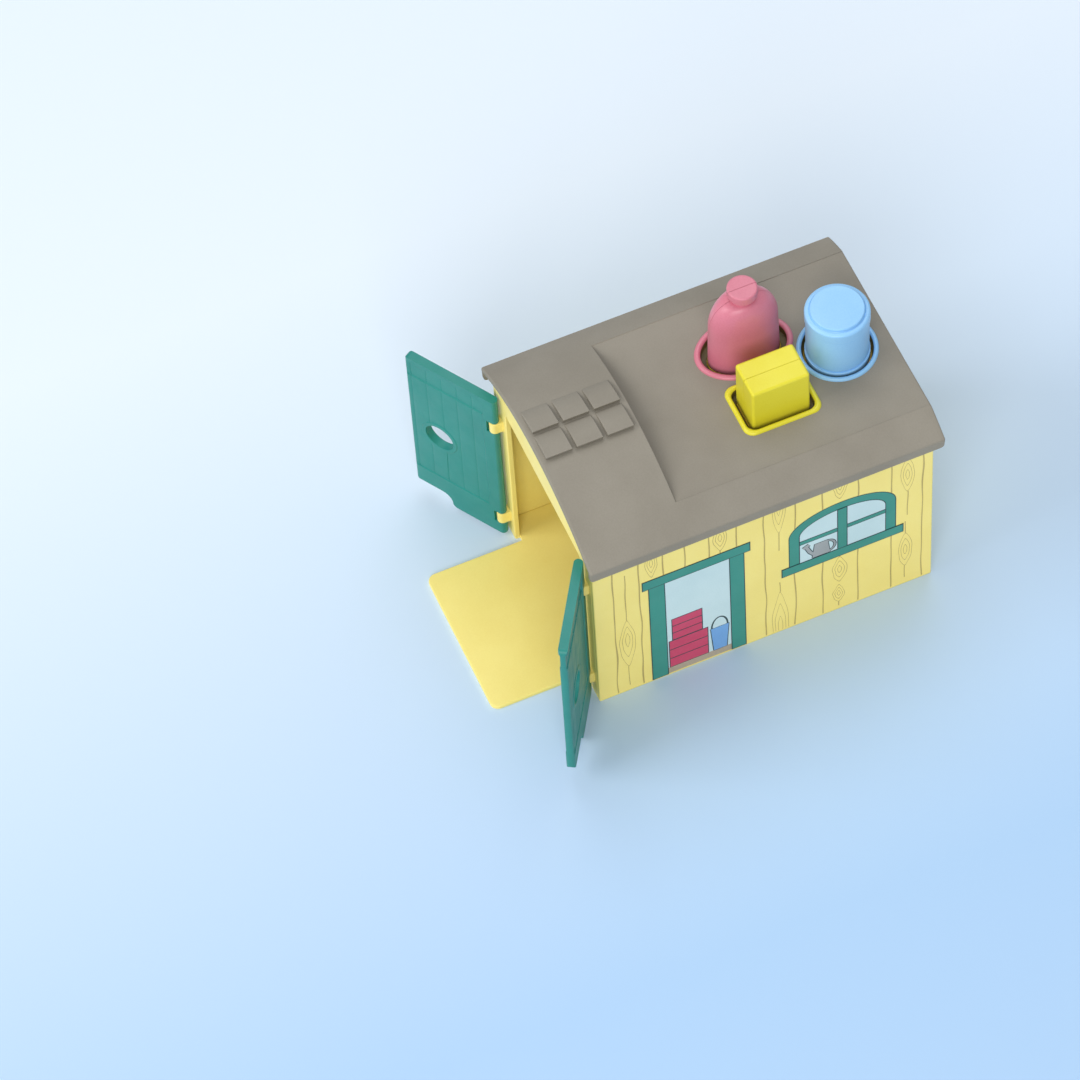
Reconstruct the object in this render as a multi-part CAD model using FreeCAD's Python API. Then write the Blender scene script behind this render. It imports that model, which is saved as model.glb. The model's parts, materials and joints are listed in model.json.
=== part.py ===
import FreeCAD, Part
import math
import os

os.makedirs("parts", exist_ok=True)

# Toy barn with a posting roof: moulded panels snapped together, two swinging doors on pins,
# and three loose pieces (milk can, barrel and bale) that drop through matching roof openings.
# Millimetres, +Z up. The origin is on the ground, in the middle of the four walls.
# The doors face -Y, and the side with the printed doorway and window is +X.

# Walls and floor
wall_length = 210.0
wall_width = 140.0
wall_thickness = 3.0
wall_top = 141.0
floor_thickness = 2.4
apron_reach = 58.0
apron_corner = 5.0
apron_side_gap = 3.5

# Doorway in the front wall
jamb_width = 16.5
lintel_height = 13.0
doorway_corner = 3.0

# Roof: an arched shell with a lip along the eaves and a flat panel let into its rear part
side_overhang = 8.0
end_overhang = 3.5
eave_above_wall = 4.5
roof_rise = 21.3
eave_lip = 7.5
roof_shell = 3.0
panel_above_eave = 9.2
arch_length = 60.5
tongue_thickness = 2.0
tongue_drop = 4.0
seat_gap = 0.2

# Shingles: raised wedge tiles on the arched front part
shingle_rows = 2
shingle_columns = 3
shingle_top_edge = -27.6
shingle_row_pitch = 19.3
shingle_end_gap = 3.5
shingle_step_gap = 0.9
shingle_gap = 2.4
shingle_butt = 2.0
shingle_head = 0.3
shingle_root = 1.0

# Loose pieces and the rims of their openings
can_x = -21.5
can_half_width = 13.6
can_half_length = 21.6
can_straight = 34.0
can_shoulder = 21.0
can_shoulder_steps = 6
can_neck_radius = 7.0
can_neck = 3.0
can_knob_radius = 8.4
can_knob = 6.0
can_entry = 4.0
can_band = 3.7

barrel_x = 1.3
barrel_radius = 18.7
barrel_hoop = 7.0
barrel_waist = 29.0
barrel_waist_inset = 0.6
barrel_disc_radius = 15.5
barrel_disc = 2.0
barrel_entry = 1.8
barrel_band = 2.9

bale_width = 24.0
bale_length = 35.5
bale_height = 36.0
bale_edge = 1.6
bale_entry = 3.0
bale_band = 3.1
bale_rim_corner = 3.2

piece_shell = 2.0
piece_clearance = 0.6
piece_depth = 6.0
rim_height = 1.6
rim_neck_wall = 1.5
rim_neck_depth = 7.0
rim_throat = 3.0
rim_gap = 0.5
rear_neck_gap = 2.7

# Doors, measured from the hinge axis with the door shut
hinge_setback = 7.5
hinge_standoff = 4.0
door_thickness = 5.5
door_relief = 0.6
door_meeting_gap = 1.0
door_lap = 8.0
door_ground_gap = 0.8
door_stile = 6.0
door_top_rail = 17.0
door_bottom_rail = 24.0
plank_groove_start = 14.1
plank_pitch = 10.6
plank_groove = 1.0
foot_notch_length = 26.0
foot_notch_height = 10.0
foot_notch_corner = 8.0
finger_hole_radius = 11.0
finger_hole_inset = 20.5
finger_hole_height = 66.0
door_open_angle = 148.0

# Hinges: eyes on the front wall that turn on a pin held in the door
pin_radius = 1.5
pin_running_gap = 0.08
pin_hold_gap = 0.02
pin_end_gap = 0.5
pin_above_eye = 9.0
eye_radius = 3.2
eye_height = 6.0
eye_arm = 4.4
eye_side_gap = 0.6
upper_eye_below_top = 26.0
lower_eye_above_foot = 15.0

# How far a cutting solid runs past the face that it cuts
overcut = 1.0

# Places that follow from the sizes above
half_length = wall_length / 2
half_width = wall_width / 2
inner_length = half_length - wall_thickness
inner_width = half_width - wall_thickness
doorway_height = wall_top - lintel_height
doorway_half = half_width - jamb_width
apron_half = doorway_half - apron_side_gap
roof_half = half_width + side_overhang
roof_end = half_length + end_overhang
eave_top = wall_top + eave_above_wall
lip_bottom = eave_top - eave_lip
crown_top = eave_top + roof_rise
panel_top = eave_top + panel_above_eave
panel_front = arch_length - roof_end
roof_radius = (roof_half ** 2 + roof_rise ** 2) / (2 * roof_rise)
roof_centre = crown_top - roof_radius
shingle_first_side = shingle_end_gap - roof_end
shingle_column_pitch = (arch_length - shingle_end_gap - shingle_step_gap) / shingle_columns
piece_rest = panel_top - piece_depth
can_rim_half_x = can_half_width + can_entry + can_band
barrel_rim_radius = barrel_radius + barrel_entry + barrel_band
bale_rim_half_x = bale_width / 2 + bale_entry + bale_band
bale_rim_half_y = bale_length / 2 + bale_entry + bale_band
barrel_y = inner_length - rear_neck_gap - rim_neck_wall - barrel_entry - barrel_radius
bale_x = can_x + can_rim_half_x + rim_gap + bale_rim_half_x
bale_y = barrel_y - barrel_rim_radius - rim_gap - bale_rim_half_y
can_y = bale_y
hinge_x = doorway_half + hinge_setback
hinge_y = -half_length - hinge_standoff
door_reach = hinge_x - door_meeting_gap
door_top = doorway_height + door_lap
door_bottom = floor_thickness + door_ground_gap
eye_heights = (door_bottom + lower_eye_above_foot, door_top - upper_eye_below_top)
far = 4 * (wall_length + wall_width + crown_top)
up = FreeCAD.Vector(0, 0, 1)


def at(x, y, z):
    return FreeCAD.Vector(x, y, z)


def block(x0, x1, y0, y1, z0, z1):
    return Part.makeBox(x1 - x0, y1 - y0, z1 - z0, at(x0, y0, z0))


def rod(radius, x, y, z0, z1):
    return Part.makeCylinder(radius, z1 - z0, at(x, y, z0))


def below(height):
    return block(-far, far, -far, far, -far, height)


def save(node, shape):
    shape.exportStep(os.path.join("parts", node + ".step"))


def arch_surface(x, inset=0.0):
    """Height of the roof's arch over x, or of a surface inset from it."""
    return roof_centre + math.sqrt((roof_radius - inset) ** 2 - x ** 2)


def arch_prism(half, bottom, inset, y0, y1):
    """Solid under the roof's arch, between two upright sides and a flat bottom."""
    shoulder = arch_surface(half, inset)
    left_foot = at(-half, y0, bottom)
    right_foot = at(half, y0, bottom)
    right_top = at(half, y0, shoulder)
    left_top = at(-half, y0, shoulder)
    crown = at(0, y0, arch_surface(0, inset))
    edges = [
        Part.LineSegment(left_foot, right_foot).toShape(),
        Part.LineSegment(right_foot, right_top).toShape(),
        Part.Arc(right_top, crown, left_top).toShape(),
        Part.LineSegment(left_top, left_foot).toShape(),
    ]
    return Part.Face(Part.Wire(edges)).extrude(at(0, y1 - y0, 0))


def ellipse_wire(x, y, z, half_x, half_y):
    """Oval on a level plane, longer along Y."""
    centre = at(x, y, z)
    oval = Part.Ellipse(at(x, y + half_y, z), at(x + half_x, y, z), centre)
    return Part.Wire([oval.toShape()])


def ellipse_prism(x, y, half_x, half_y, z0, z1):
    return Part.Face(ellipse_wire(x, y, z0, half_x, half_y)).extrude(at(0, 0, z1 - z0))


def rounded_wire(x, y, z, half_x, half_y, corner):
    """Rectangle with round corners on a level plane."""
    outline = []
    turn = corner * (1 - math.sqrt(0.5))
    corners = ((1, 1), (-1, 1), (-1, -1), (1, -1))
    for index, (sx, sy) in enumerate(corners):
        along_y = at(x + sx * half_x, y + sy * (half_y - corner), z)
        along_x = at(x + sx * (half_x - corner), y + sy * half_y, z)
        middle = at(x + sx * (half_x - turn), y + sy * (half_y - turn), z)
        first, last = (along_y, along_x) if index % 2 == 0 else (along_x, along_y)
        outline.append((first, middle, last))
    edges = []
    for index, (first, middle, last) in enumerate(outline):
        edges.append(Part.Arc(first, middle, last).toShape())
        edges.append(Part.LineSegment(last, outline[(index + 1) % len(outline)][0]).toShape())
    return Part.Wire(edges)


def rounded_prism(x, y, half_x, half_y, corner, z0, z1):
    return Part.Face(rounded_wire(x, y, z0, half_x, half_y, corner)).extrude(at(0, 0, z1 - z0))


def turned(profile, x, y):
    """Solid of revolution about the upright line at x, y from (radius, height) points."""
    points = [at(x + radius, y, z) for radius, z in profile]
    face = Part.Face(Part.makePolygon(points + points[:1]))
    return face.revolve(at(x, y, 0), up, 360)


# Floor plate, with the apron that runs out in front of the doorway
apron_front = -half_length - apron_reach
room_floor = block(-inner_width, inner_width, -inner_length, inner_length, 0, floor_thickness)
apron = block(-apron_half, apron_half, apron_front, -inner_length, 0, floor_thickness)
front_corners = [
    edge
    for edge in apron.Edges
    if edge.BoundBox.ZLength > floor_thickness / 2 and edge.BoundBox.YMax < -half_length
]
apron = apron.makeFillet(apron_corner, front_corners)
save("floor_plate", room_floor.fuse(apron).removeSplitter())

# Side walls: flat printed panels with a level top edge that carries the roof
for node, side in (("side_wall_left", -1), ("side_wall_right", 1)):
    inside = side * inner_width
    outside = side * half_width
    low, high = min(inside, outside), max(inside, outside)
    save(node, block(low, high, -half_length, half_length, 0, wall_top))

# Front wall: jambs, lintel and gable in one panel, with the hinge eyes standing out in front
gable_inset = roof_shell + seat_gap
front_wall = arch_prism(inner_width, 0, gable_inset, -half_length, -inner_length)
doorway_front = -half_length - overcut
doorway_rear = -inner_length + overcut
doorway = block(-doorway_half, doorway_half, doorway_front, doorway_rear, -overcut, doorway_height)
doorway_top_edges = [
    edge
    for edge in doorway.Edges
    if edge.BoundBox.YLength > wall_thickness and edge.BoundBox.ZMin > doorway_height / 2
]
front_wall = front_wall.cut(doorway.makeFillet(doorway_corner, doorway_top_edges))
for side in (-1, 1):
    axis_x = side * hinge_x
    for height in eye_heights:
        low, high = height - eye_height / 2, height + eye_height / 2
        arm = block(axis_x - eye_arm / 2, axis_x + eye_arm / 2, hinge_y, -half_length, low, high)
        eye = rod(eye_radius, axis_x, hinge_y, low, high).fuse(arm)
        bore = rod(pin_radius + pin_running_gap, axis_x, hinge_y, low - overcut, high + overcut)
        front_wall = front_wall.fuse(eye.cut(bore))
save("front_wall", front_wall.removeSplitter())

# Rear wall: a plain gable under the flat roof panel
rear_wall = arch_prism(inner_width, 0, gable_inset, inner_length, half_length)
save("rear_wall", rear_wall.common(below(panel_top - gable_inset)))

# Roof shell: full arch in front, flat panel behind a step, lip along both eaves
arch_front = arch_prism(roof_half, lip_bottom, 0, -roof_end, panel_front)
arch_rear = arch_prism(roof_half, lip_bottom, 0, panel_front, roof_end).common(below(panel_top))
roof_outside = arch_front.fuse(arch_rear)
hollow_half = roof_half - roof_shell
hollow_low = lip_bottom - overcut
step_back = panel_front - roof_shell
hollow_front = arch_prism(hollow_half, hollow_low, roof_shell, -roof_end - overcut, step_back)
hollow_rear = arch_prism(hollow_half, hollow_low, roof_shell, step_back, roof_end + overcut)
hollow_rear = hollow_rear.common(below(panel_top - roof_shell))
roof = roof_outside.cut(hollow_front.fuse(hollow_rear))

# Seat ribs on the side walls' top edges, each with a tongue that drops inside its wall
tongue_end = inner_length - seat_gap
for side in (-1, 1):
    tongue_out = inner_width - seat_gap
    tongue_in = tongue_out - tongue_thickness
    rib_spans = (
        (inner_width, half_width, half_length, wall_top),
        (tongue_in, tongue_out, tongue_end, wall_top - tongue_drop),
        (tongue_in, inner_width, tongue_end, wall_top),
    )
    for near, distant, reach, bottom in rib_spans:
        low, high = min(side * near, side * distant), max(side * near, side * distant)
        rib = block(low, high, -reach, reach, bottom, crown_top)
        roof = roof.fuse(rib.common(roof_outside))

# Shingles: each tile rises from its head to its butt, which faces the printed side
for row in range(shingle_rows):
    head_x = shingle_top_edge + row * shingle_row_pitch
    butt_x = head_x + shingle_row_pitch
    for column in range(shingle_columns):
        first = shingle_first_side + column * shingle_column_pitch
        width = shingle_column_pitch - shingle_gap
        section = [
            at(head_x, first, arch_surface(head_x) - shingle_root),
            at(butt_x, first, arch_surface(butt_x) - shingle_root),
            at(butt_x, first, arch_surface(butt_x) + shingle_butt),
            at(head_x, first, arch_surface(head_x) + shingle_head),
        ]
        tile = Part.Face(Part.makePolygon(section + section[:1])).extrude(at(0, width, 0))
        roof = roof.fuse(tile)

# Openings in the panel take the necks of the three rims
neck_top = panel_top + overcut
neck_low = panel_top - roof_shell - overcut
can_neck_x = can_half_width + can_entry + rim_neck_wall + seat_gap
can_neck_y = can_half_length + can_entry + rim_neck_wall + seat_gap
barrel_neck = barrel_radius + barrel_entry + rim_neck_wall + seat_gap
bale_neck_x = bale_width / 2 + bale_entry + rim_neck_wall + seat_gap
bale_neck_y = bale_length / 2 + bale_entry + rim_neck_wall + seat_gap
bale_neck_corner = bale_rim_corner + rim_neck_wall
roof = roof.cut(ellipse_prism(can_x, can_y, can_neck_x, can_neck_y, neck_low, neck_top))
roof = roof.cut(rod(barrel_neck, barrel_x, barrel_y, neck_low, neck_top))
roof = roof.cut(
    rounded_prism(bale_x, bale_y, bale_neck_x, bale_neck_y, bale_neck_corner, neck_low, neck_top)
)
save("roof_shell", roof.removeSplitter())

# Rims: a coloured band on the panel, a neck through it, and a funnel down to a close throat
rim_top = panel_top + rim_height
rim_low = panel_top - rim_neck_depth
throat_top = rim_low + rim_throat


def can_oval(grow, z0, z1):
    return ellipse_prism(can_x, can_y, can_half_width + grow, can_half_length + grow, z0, z1)


can_funnel = Part.makeLoft(
    [
        ellipse_wire(can_x, can_y, z, can_half_width + grow, can_half_length + grow)
        for z, grow in ((throat_top, piece_clearance), (panel_top, can_entry))
    ],
    True,
    True,
)
can_rim = can_oval(can_entry + can_band, panel_top, rim_top)
can_rim = can_rim.fuse(can_oval(can_entry + rim_neck_wall, rim_low, panel_top))
can_rim = can_rim.cut(can_oval(piece_clearance, rim_low - overcut, throat_top))
can_rim = can_rim.cut(can_funnel).cut(can_oval(can_entry, panel_top, rim_top + overcut))
save("can_rim", can_rim.removeSplitter())

barrel_mouth = barrel_radius + barrel_entry
barrel_throat = barrel_radius + piece_clearance
barrel_rim = turned(
    [
        (barrel_mouth, rim_top),
        (barrel_rim_radius, rim_top),
        (barrel_rim_radius, panel_top),
        (barrel_mouth + rim_neck_wall, panel_top),
        (barrel_mouth + rim_neck_wall, rim_low),
        (barrel_throat, rim_low),
        (barrel_throat, throat_top),
        (barrel_mouth, panel_top),
    ],
    barrel_x,
    barrel_y,
)
save("barrel_rim", barrel_rim)


def bale_oblong(grow, corner, z0, z1):
    half_x = bale_width / 2 + grow
    half_y = bale_length / 2 + grow
    return rounded_prism(bale_x, bale_y, half_x, half_y, corner, z0, z1)


bale_funnel = Part.makeLoft(
    [
        rounded_wire(bale_x, bale_y, z, bale_width / 2 + grow, bale_length / 2 + grow, corner)
        for z, grow, corner in (
            (throat_top, piece_clearance, bale_edge),
            (panel_top, bale_entry, bale_rim_corner),
        )
    ],
    True,
    True,
)
bale_rim = bale_oblong(bale_entry + bale_band, bale_rim_corner + bale_band, panel_top, rim_top)
bale_rim = bale_rim.fuse(bale_oblong(bale_entry + rim_neck_wall, bale_neck_corner, rim_low, panel_top))
bale_rim = bale_rim.cut(bale_oblong(piece_clearance, bale_edge, rim_low - overcut, throat_top))
bale_mouth = bale_oblong(bale_entry, bale_rim_corner, panel_top, rim_top + overcut)
save("bale_rim", bale_rim.cut(bale_funnel).cut(bale_mouth).removeSplitter())

# Milk can: an oval hollow body with a round shoulder, neck and knob, moulded as two halves
can_body_top = piece_rest + can_straight + can_shoulder
can_knob_low = can_body_top + can_neck
can_knob_top = can_knob_low + can_knob


def can_form(skin):
    """Body of the can without its knob, drawn in by a skin all round."""
    wires = [ellipse_wire(can_x, can_y, piece_rest + skin, can_half_width - skin, can_half_length - skin)]
    for step in range(can_shoulder_steps + 1):
        turn = math.pi / 2 * step / can_shoulder_steps
        keep = math.cos(turn)
        rise = (can_shoulder - skin) * math.sin(turn)
        half_x = can_neck_radius + (can_half_width - can_neck_radius) * keep - skin
        half_y = can_neck_radius + (can_half_length - can_neck_radius) * keep - skin
        wires.append(ellipse_wire(can_x, can_y, piece_rest + can_straight + rise, half_x, half_y))
    straight = Part.makeLoft(wires[:2], True, True)
    return straight.fuse(Part.makeLoft(wires[1:], True, True))


can_solid = can_form(0).cut(can_form(piece_shell))
can_solid = can_solid.fuse(rod(can_neck_radius, can_x, can_y, can_body_top, can_knob_low))
can_solid = can_solid.fuse(rod(can_knob_radius, can_x, can_y, can_knob_low, can_knob_top))
save("can_half_left", can_solid.common(block(-far, can_x, -far, far, -far, far)))
save("can_half_right", can_solid.common(block(can_x, far, -far, far, -far, far)))

# Barrel: a waist tube closed by a hooped base and a hooped lid with a raised disc
barrel_base_top = piece_rest + barrel_hoop
barrel_lid_low = barrel_base_top + barrel_waist
barrel_shoulder = barrel_lid_low + barrel_hoop
waist_radius = barrel_radius - barrel_waist_inset
hoop_inside = barrel_radius - piece_shell
waist = rod(waist_radius, barrel_x, barrel_y, barrel_base_top, barrel_lid_low)
save("barrel_body", waist.cut(rod(waist_radius - piece_shell, barrel_x, barrel_y, -far, far)))
base = rod(barrel_radius, barrel_x, barrel_y, piece_rest, barrel_base_top)
base = base.cut(rod(hoop_inside - piece_shell, barrel_x, barrel_y, piece_rest + piece_shell, far))
save("barrel_base", base)
lid = rod(barrel_radius, barrel_x, barrel_y, barrel_lid_low, barrel_shoulder)
lid = lid.cut(rod(hoop_inside - piece_shell, barrel_x, barrel_y, -far, barrel_shoulder - piece_shell))
disc = rod(barrel_disc_radius, barrel_x, barrel_y, barrel_shoulder, barrel_shoulder + barrel_disc)
save("barrel_lid", lid.fuse(disc).removeSplitter())

# Bale: an oblong hollow block with soft edges, moulded as two halves
bale_x0, bale_x1 = bale_x - bale_width / 2, bale_x + bale_width / 2
bale_y0, bale_y1 = bale_y - bale_length / 2, bale_y + bale_length / 2
bale_top = piece_rest + bale_height
bale = block(bale_x0, bale_x1, bale_y0, bale_y1, piece_rest, bale_top)
bale = bale.makeFillet(bale_edge, bale.Edges)
bale_hollow = block(
    bale_x0 + piece_shell,
    bale_x1 - piece_shell,
    bale_y0 + piece_shell,
    bale_y1 - piece_shell,
    piece_rest + piece_shell,
    bale_top - piece_shell,
)
bale = bale.cut(bale_hollow)
save("bale_half_left", bale.common(block(-far, bale_x, -far, far, -far, far)))
save("bale_half_right", bale.common(block(bale_x, far, -far, far, -far, far)))

# Left door, drawn shut along +X from its hinge axis, then swung open; the right one is its mirror
half_thick = door_thickness / 2
half_field = half_thick - door_relief
top_rail_low = door_top - door_top_rail
bottom_rail_top = door_bottom + door_bottom_rail
door = block(0, door_reach, -half_field, half_field, door_bottom, door_top)
door = door.fuse(rod(half_thick, 0, 0, door_bottom, door_top))
door = door.fuse(block(0, door_stile, -half_thick, half_thick, door_bottom, door_top))
door = door.fuse(block(0, door_reach, -half_thick, half_thick, top_rail_low, door_top))
door = door.fuse(block(0, door_reach, -half_thick, half_thick, door_bottom, bottom_rail_top))
groove_count = int((door_reach - plank_groove_start - plank_groove) / plank_pitch) + 1
for index in range(groove_count):
    middle = plank_groove_start + index * plank_pitch
    for face in (-half_field, half_field):
        groove = block(
            middle - plank_groove / 2,
            middle + plank_groove / 2,
            face - door_relief,
            face + door_relief,
            bottom_rail_top,
            top_rail_low,
        )
        door = door.cut(groove)
notch_start = door_reach - foot_notch_length
notch_top = door_bottom + foot_notch_height
foot_notch = block(notch_start, far, -door_thickness, door_thickness, door_bottom - far, notch_top)
notch_corner = [
    edge
    for edge in foot_notch.Edges
    if edge.BoundBox.XMax < door_reach and edge.BoundBox.ZMin > door_bottom
]
door = door.cut(foot_notch.makeFillet(foot_notch_corner, notch_corner))
hole_centre = at(door_reach - finger_hole_inset, -door_thickness, door_bottom + finger_hole_height)
door = door.cut(Part.makeCylinder(finger_hole_radius, 2 * door_thickness, hole_centre, at(0, 1, 0)))
eye_room = eye_radius + eye_side_gap
for height in eye_heights:
    low = height - eye_height / 2 - eye_side_gap
    high = height + eye_height / 2 + eye_side_gap
    door = door.cut(block(-door_thickness, eye_room, -door_thickness, door_thickness, low, high))
pin_low = door_bottom + pin_end_gap
pin_top = eye_heights[1] + eye_height / 2 + pin_above_eye
door = door.cut(rod(pin_radius + pin_hold_gap, 0, 0, door_bottom - overcut, pin_top + pin_hold_gap))
pin = rod(pin_radius, 0, 0, pin_low, pin_top)
for node, shape in (("door", door.removeSplitter()), ("hinge_pin", pin)):
    shape.rotate(at(0, 0, 0), up, -door_open_angle)
    shape.translate(at(-hinge_x, hinge_y, 0))
    save(node + "_left", shape)
    save(node + "_right", shape.mirror(at(0, 0, 0), at(1, 0, 0)))
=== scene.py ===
import json
import math

import bmesh
import bpy
from mathutils import Matrix, Vector, noise


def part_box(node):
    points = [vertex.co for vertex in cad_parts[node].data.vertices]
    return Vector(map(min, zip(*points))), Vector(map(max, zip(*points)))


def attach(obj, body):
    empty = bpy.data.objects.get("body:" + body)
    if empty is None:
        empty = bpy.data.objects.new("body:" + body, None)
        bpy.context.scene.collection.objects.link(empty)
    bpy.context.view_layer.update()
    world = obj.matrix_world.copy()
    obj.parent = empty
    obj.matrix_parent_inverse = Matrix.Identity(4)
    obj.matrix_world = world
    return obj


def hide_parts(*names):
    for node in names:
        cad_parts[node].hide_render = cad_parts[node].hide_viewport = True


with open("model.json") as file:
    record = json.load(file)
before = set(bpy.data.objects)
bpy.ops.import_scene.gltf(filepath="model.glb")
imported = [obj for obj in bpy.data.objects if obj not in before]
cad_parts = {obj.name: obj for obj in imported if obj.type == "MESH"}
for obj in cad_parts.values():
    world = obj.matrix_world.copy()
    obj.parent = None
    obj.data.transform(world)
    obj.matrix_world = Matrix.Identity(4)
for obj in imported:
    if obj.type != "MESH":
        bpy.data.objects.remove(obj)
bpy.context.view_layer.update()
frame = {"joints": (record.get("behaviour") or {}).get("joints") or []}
mm = 0.001

# Floor plate
# The floor of the room runs out through the doorway into an apron that toy vehicles roll up on.
# It is one flat moulding in satin yellow plastic, clamped between the feet of the walls.
apron_half = 50 * mm
apron_corner = 5 * mm
floor_edge = 0.7 * mm
floor_low, floor_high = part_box("floor_plate")
wall_low, wall_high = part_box("side_wall_right")
wall_thickness = wall_high.x - wall_low.x
room_front = wall_low.y + wall_thickness
smooth_angle = math.radians(31)
hairline = 0.01 * mm
round_steps = 6
speck_size = 0.9 * mm
speck_share = 0.45
drift_size = 38 * mm
deep_tone = 0.5
light_tone = 0.92
polish_size = 11 * mm
polish_low = 0.3
polish_high = 0.7
polish_spread = 0.07
sink_size = 16 * mm
sink_depth = 0.12 * mm
sink_strength = 0.5
grain_strength = 0.6


def paint(red, green, blue):
    """Linear colour of a paint chip that is given in sRGB steps of 255."""
    chip = []
    for step in (red, green, blue):
        share = step / 255
        chip.append(share / 12.92 if share <= 0.04045 else ((share + 0.055) / 1.055) ** 2.4)
    return chip + [1]


def set_inputs(node, values):
    """Set a shader node's inputs by name."""
    for name, value in values.items():
        node.inputs[name].default_value = value


def moulded_plastic(
    name, colour, deep, roughness=0.36, grain_size=0.5 * mm, grain_height=0.012 * mm, sheen=0.5, metal=0
):
    """Dyed plastic: tone that drifts slowly, pigment specks, mould grain and an uneven polish."""
    material = bpy.data.materials.new(name)
    material.use_nodes = True
    nodes = material.node_tree.nodes
    wire = material.node_tree.links.new
    shader = nodes["Principled BSDF"]
    set_inputs(shader, {"Specular IOR Level": sheen, "Metallic": metal})
    place = nodes.new("ShaderNodeTexCoord").outputs["Object"]

    def mottle(size, detail):
        texture = nodes.new("ShaderNodeTexNoise")
        set_inputs(texture, {"Scale": 1 / size, "Detail": detail})
        wire(place, texture.inputs["Vector"])
        return texture.outputs["Fac"]

    def relief(height, strength, depth):
        bump = nodes.new("ShaderNodeBump")
        set_inputs(bump, {"Strength": strength, "Distance": depth})
        wire(height, bump.inputs["Height"])
        return bump

    specks = nodes.new("ShaderNodeMath")
    specks.operation = "MULTIPLY_ADD"
    specks.inputs[1].default_value = speck_share
    wire(mottle(speck_size, detail=2), specks.inputs[0])
    wire(mottle(drift_size, detail=3), specks.inputs[2])
    tone = nodes.new("ShaderNodeValToRGB")
    tone.color_ramp.elements[0].position = deep_tone
    tone.color_ramp.elements[0].color = paint(*deep)
    tone.color_ramp.elements[1].position = light_tone
    tone.color_ramp.elements[1].color = paint(*colour)
    wire(specks.outputs["Value"], tone.inputs["Fac"])
    wire(tone.outputs["Color"], shader.inputs["Base Color"])

    polish = nodes.new("ShaderNodeMapRange")
    set_inputs(polish, {"From Min": polish_low, "From Max": polish_high})
    set_inputs(polish, {"To Min": roughness - polish_spread, "To Max": roughness + polish_spread})
    wire(mottle(polish_size, detail=4), polish.inputs["Value"])
    wire(polish.outputs["Result"], shader.inputs["Roughness"])

    sink_marks = relief(mottle(sink_size, detail=1), sink_strength, sink_depth)
    grain = relief(mottle(grain_size, detail=3), grain_strength, grain_height)
    wire(sink_marks.outputs["Normal"], grain.inputs["Normal"])
    wire(grain.outputs["Normal"], shader.inputs["Normal"])
    return material


def soften(bm, parts, radius, segments=3, clamp=True, affect="EDGES"):
    """Round off edges, or the corners of a flat face."""
    bmesh.ops.bevel(
        bm, geom=parts, offset=radius, affect=affect, segments=segments, profile=0.5, material=-1,
        clamp_overlap=clamp,
    )


def edges_at(bm, test):
    """Edges whose two ends both lie where the test says."""
    return [edge for edge in bm.edges if all(test(vert.co) for vert in edge.verts)]


def verts_of(parts):
    """Vertices among the parts that a mesh operator made."""
    return [part for part in parts if isinstance(part, bmesh.types.BMVert)]


def plane(across, upward, origin):
    """Matrix that lays a flat outline out along two directions from an origin."""
    normal = Vector(across).cross(Vector(upward))
    layout = Matrix((across, upward, normal)).transposed().to_4x4()
    layout.translation = origin
    return layout


def outline_face(bm, outline, rounds):
    """Flat face from an outline, with some corners rounded: pairs of (corner number, radius)."""
    old_faces = set(bm.faces)
    corners = [bm.verts.new((x, y, 0)) for x, y in outline]
    bm.faces.new(corners)
    for number, radius in rounds:
        soften(bm, [corners[number]], radius, round_steps, affect="VERTICES")
    return next(face for face in bm.faces if face not in old_faces)


def raise_faces(bm, faces, thickness, layout):
    """Raise flat faces by a thickness into a closed body, then lay it out in its place."""
    base = {vert for face in faces for vert in face.verts}
    raised = bmesh.ops.extrude_face_region(bm, geom=faces)["geom"]
    top = verts_of(raised)
    bmesh.ops.translate(bm, verts=top, vec=(0, 0, thickness))
    body = base | set(top)
    bmesh.ops.transform(bm, matrix=layout, verts=list(body))
    skin = {face for vert in body for face in vert.link_faces}
    bmesh.ops.recalc_face_normals(bm, faces=list(skin))


def plate(bm, outline, thickness, layout, rounds=()):
    """Closed plate: a flat outline raised by a thickness, then laid out in its place."""
    raise_faces(bm, [outline_face(bm, outline, rounds)], thickness, layout)


def mesh_object(name, bm, material):
    """Object in the scene from a finished mesh."""
    mesh = bpy.data.meshes.new(name)
    bm.to_mesh(mesh)
    bm.free()
    mesh.materials.append(material)
    made = bpy.data.objects.new(name, mesh)
    bpy.context.scene.collection.objects.link(made)
    return made


def add_piece(name, bm, material, body, slot, *nodes):
    """Make a finished mesh a piece of the object that rides on a body and stands for CAD nodes."""
    bmesh.ops.recalc_face_normals(bm, faces=bm.faces)
    piece = mesh_object(name, bm, material)
    for polygon in piece.data.polygons:
        polygon.use_smooth = True
    piece.data.set_sharp_from_angle(angle=smooth_angle)
    shading = piece.modifiers.new("even_shading", "WEIGHTED_NORMAL")
    shading.keep_sharp = True
    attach(piece, body)
    if nodes:
        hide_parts(*nodes)


yellow_plastic = moulded_plastic("barn_yellow", (253, 235, 138), (248, 228, 129), 0.42, 0.6 * mm)
floor_outline = [
    (floor_low.x, floor_high.y),
    (floor_low.x, room_front),
    (-apron_half, room_front),
    (-apron_half, floor_low.y),
    (apron_half, floor_low.y),
    (apron_half, room_front),
    (floor_high.x, room_front),
    (floor_high.x, floor_high.y),
]
apron_rounds = ((3, apron_corner), (4, apron_corner))
ground = plane((1, 0, 0), (0, 1, 0), (0, 0, floor_low.z))
floor_mesh = bmesh.new()
plate(floor_mesh, floor_outline, floor_high.z - floor_low.z, ground, apron_rounds)
soften(floor_mesh, edges_at(floor_mesh, lambda co: co.z > floor_high.z - hairline), floor_edge)
add_piece("floor_plate", floor_mesh, yellow_plastic, "barn", "body_yellow", "floor_plate")

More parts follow.
